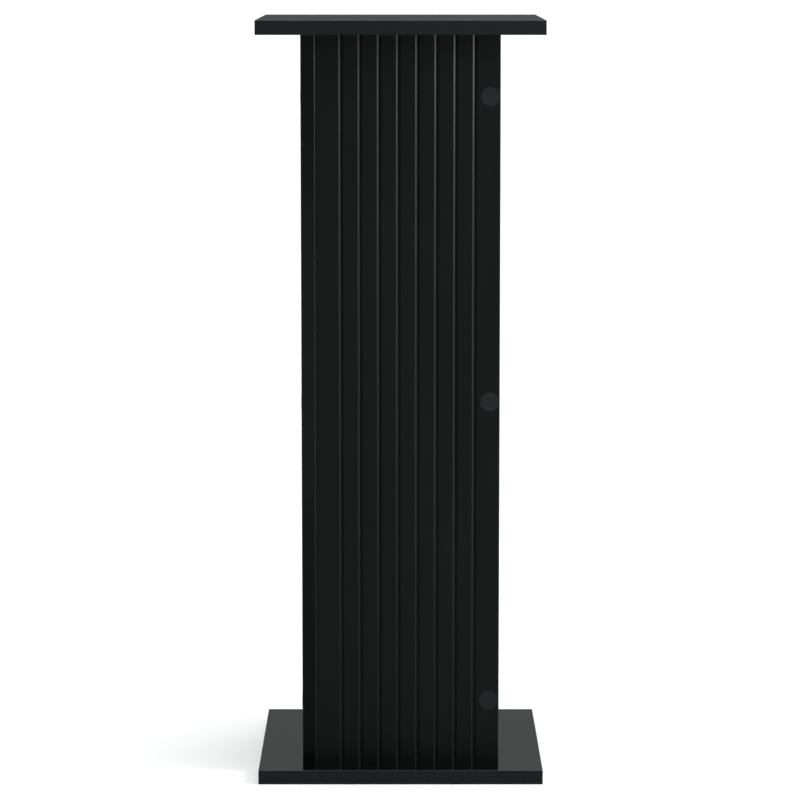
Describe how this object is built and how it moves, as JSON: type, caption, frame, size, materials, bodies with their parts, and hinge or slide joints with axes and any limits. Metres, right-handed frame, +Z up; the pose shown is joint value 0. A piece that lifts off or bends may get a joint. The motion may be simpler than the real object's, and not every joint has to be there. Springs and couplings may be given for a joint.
{
  "type": "display plinth",
  "caption": "Tall square display plinth: a hollow column of vertically grooved panels between a square top plate and a square base plate.",
  "frame": {"origin": "on the floor at the middle of the base plate's underside", "axes": "+Z up; the front face looks along -Y; +X to the viewer's right"},
  "size_m": [0.3, 0.3, 0.802],
  "materials": {
    "plate_board": "black melamine-faced particle board, satin",
    "panel_board": "black foil-faced fibreboard with vertical V grooves, satin",
    "plate_edge_band": "black ABS edge band, fine matt grain",
    "panel_edge_band": "black ABS edge band, fine matt grain",
    "cover_cap": "black self-adhesive plastic cover cap, matt",
    "screw_steel": "zinc-plated steel",
    "dowel_wood": "raw beech"
  },
  "bodies": {
    "root": {"base_plate": "plate_board", "top_plate": "plate_board", "base_plate_front_edge_band": "plate_edge_band", "top_plate_front_edge_band": "plate_edge_band", "front_panel": "panel_board", "front_panel_edge_band": "panel_edge_band", "base_plate_right_edge_band": "plate_edge_band", "top_plate_right_edge_band": "plate_edge_band", "right_panel": "panel_board", "right_panel_edge_band": "panel_edge_band", "base_plate_back_edge_band": "plate_edge_band", "top_plate_back_edge_band": "plate_edge_band", "back_panel": "panel_board", "back_panel_edge_band": "panel_edge_band", "base_plate_left_edge_band": "plate_edge_band", "top_plate_left_edge_band": "plate_edge_band", "left_panel": "panel_board", "left_panel_edge_band": "panel_edge_band", "front_right_corner_screws": "screw_steel", "front_right_corner_screw_caps": "cover_cap", "front_right_corner_dowels": "dowel_wood", "back_right_corner_screws": "screw_steel", "back_right_corner_screw_caps": "cover_cap", "back_right_corner_dowels": "dowel_wood", "back_left_corner_screws": "screw_steel", "back_left_corner_screw_caps": "cover_cap", "back_left_corner_dowels": "dowel_wood", "front_left_corner_screws": "screw_steel", "front_left_corner_screw_caps": "cover_cap", "front_left_corner_dowels": "dowel_wood", "top_plate_screws": "screw_steel", "base_plate_screws": "screw_steel", "top_plate_screw_caps": "cover_cap", "top_plate_dowels": "dowel_wood", "base_plate_dowels": "dowel_wood"}
  },
  "joints": []
}
